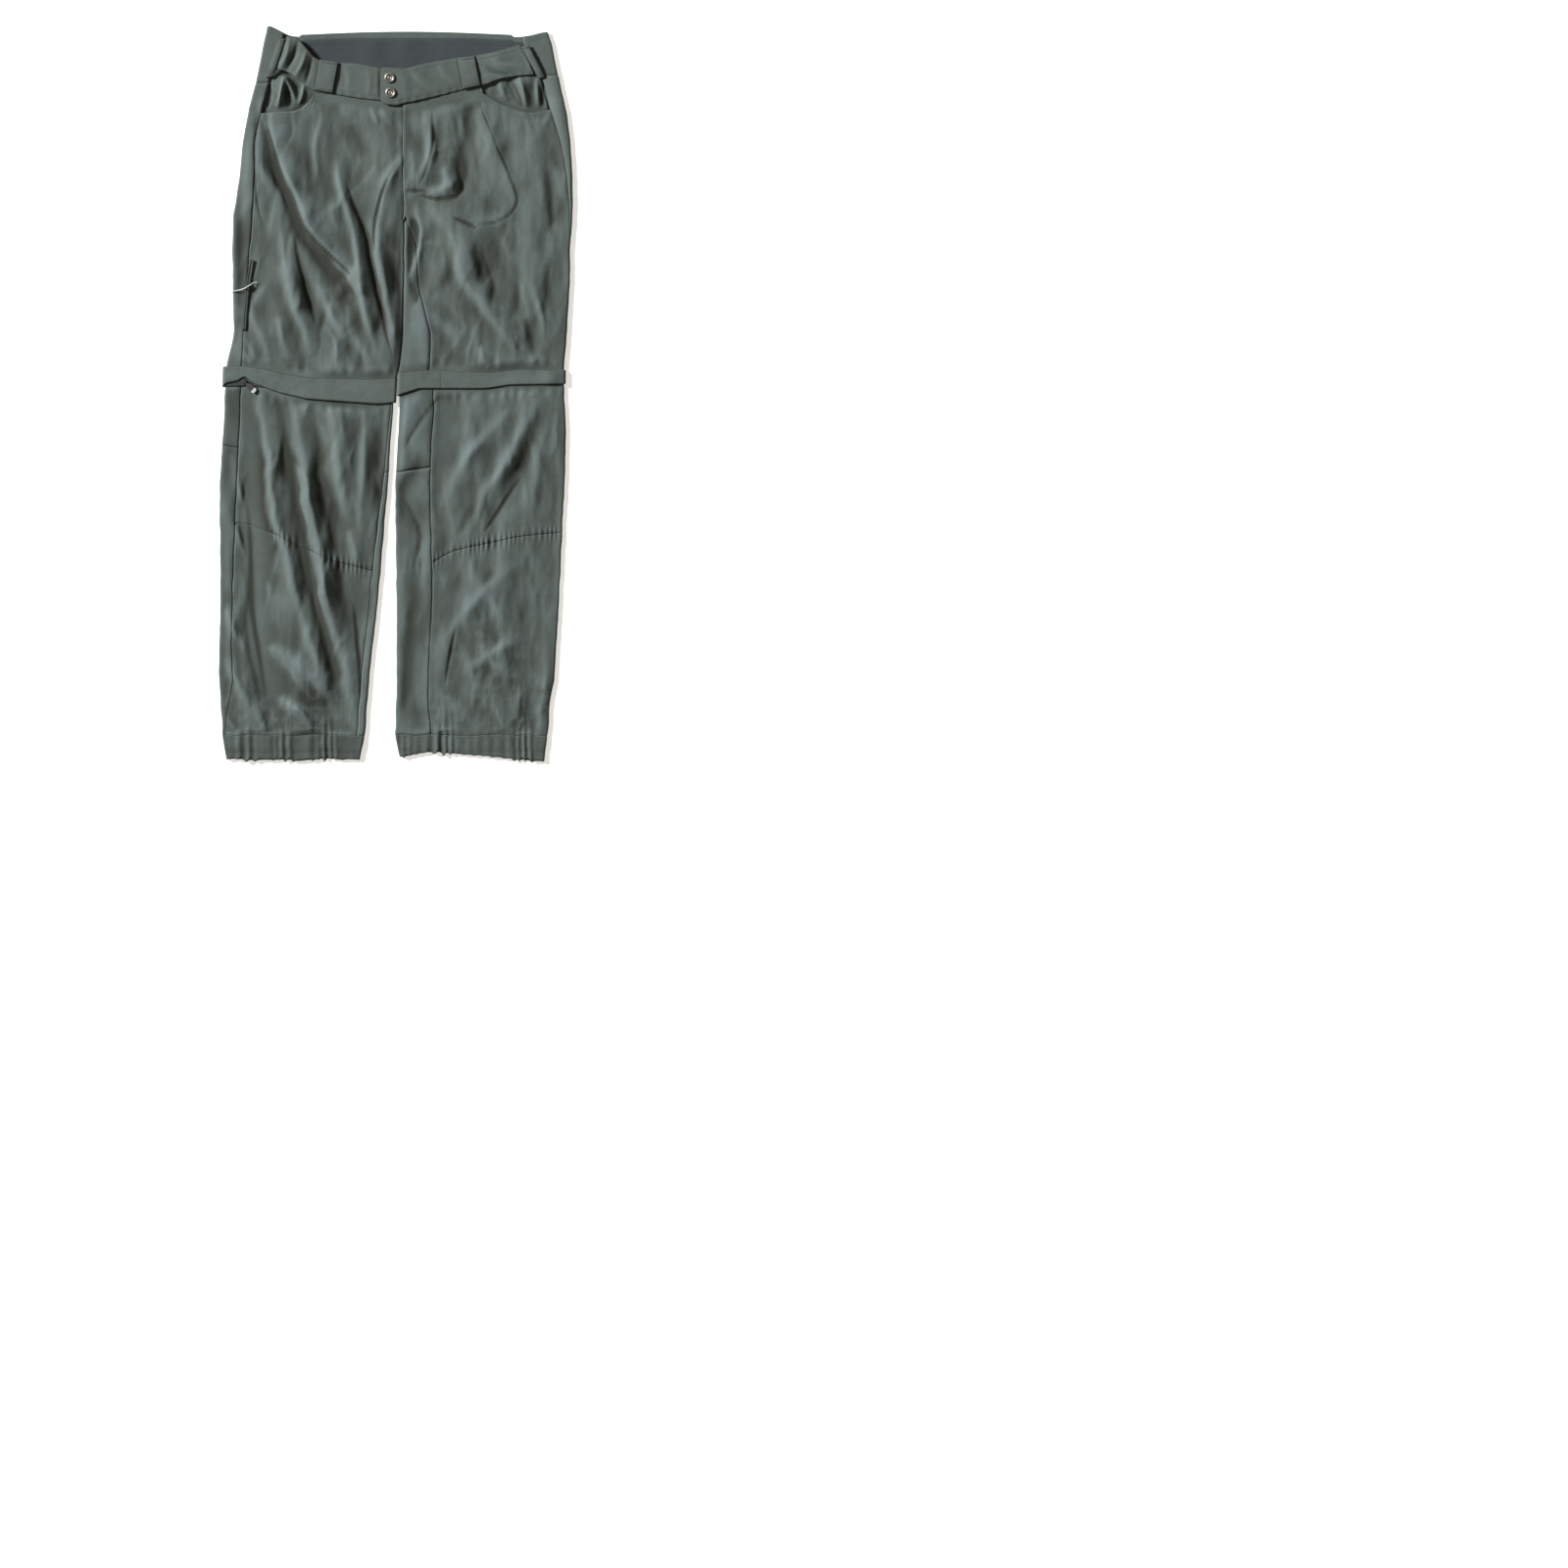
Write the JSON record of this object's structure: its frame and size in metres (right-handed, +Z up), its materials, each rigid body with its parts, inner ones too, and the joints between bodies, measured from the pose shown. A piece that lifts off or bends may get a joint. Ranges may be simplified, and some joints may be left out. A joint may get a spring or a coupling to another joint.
{
  "type": "convertible zip-off trousers",
  "caption": "Convertible hiking trousers laid flat, with zip-off lower legs under knee flaps, a snapped waistband tab, belt loops, front pockets, a zipped thigh pocket and gathered hems.",
  "frame": {"origin": "middle of the underside, where the trousers lie on the ground", "axes": "+Z up from the ground, +Y from the hems to the waist, +X to the wearer's left side, which is on the right as seen from above"},
  "size_m": [0.5016, 1.043, 0.0162],
  "materials": {
    "nylon": "matt grey-green nylon with a fine weave",
    "facing": "matt dark blue-grey lining cloth",
    "tape": "matt woven zip tape",
    "snap_metal": "satin pressed metal",
    "dark_metal": "dark painted zinc",
    "pull_rubber": "matt dark brown moulding with a pale reflective end",
    "cord": "matt braided cord"
  },
  "bodies": {
    "trousers": {"back_calf_left": "nylon", "back_calf_right": "nylon", "back_knee_left": "nylon", "back_knee_right": "nylon", "back_left": "nylon", "back_right": "nylon", "belt_loop_front_left": "nylon", "belt_loop_front_right": "nylon", "belt_loop_side_left": "nylon", "belt_loop_side_right": "nylon", "front_left": "nylon", "front_right": "nylon", "hem_band_left": "nylon", "hem_band_right": "nylon", "knee_flap_left": "nylon", "knee_flap_right": "nylon", "knee_panel_left": "nylon", "knee_panel_right": "nylon", "knee_slider_left": "dark_metal", "knee_slider_right": "dark_metal", "knee_zip_left": "tape", "knee_zip_right": "tape", "pocket_facing_left": "nylon", "pocket_facing_right": "nylon", "pocket_zip": "tape", "pocket_zip_cord": "cord", "pocket_zip_slider": "dark_metal", "shin_panel_left": "nylon", "shin_panel_right": "nylon", "snap_lower": "snap_metal", "snap_upper": "snap_metal", "waistband_back": "nylon", "waistband_facing": "facing", "waistband_front_left": "nylon", "waistband_front_right": "nylon"},
    "knee_pull": {"knee_pull_right": "pull_rubber"}
  },
  "joints": [
    {"name": "knee_pull_hinge", "type": "hinge", "parent": "trousers", "child": "knee_pull", "pos_m": [-0.2137, 0.01613, 0.0111], "axis": [-0.6681, -0.7441, 0], "range_deg": [0, 100]}
  ]
}
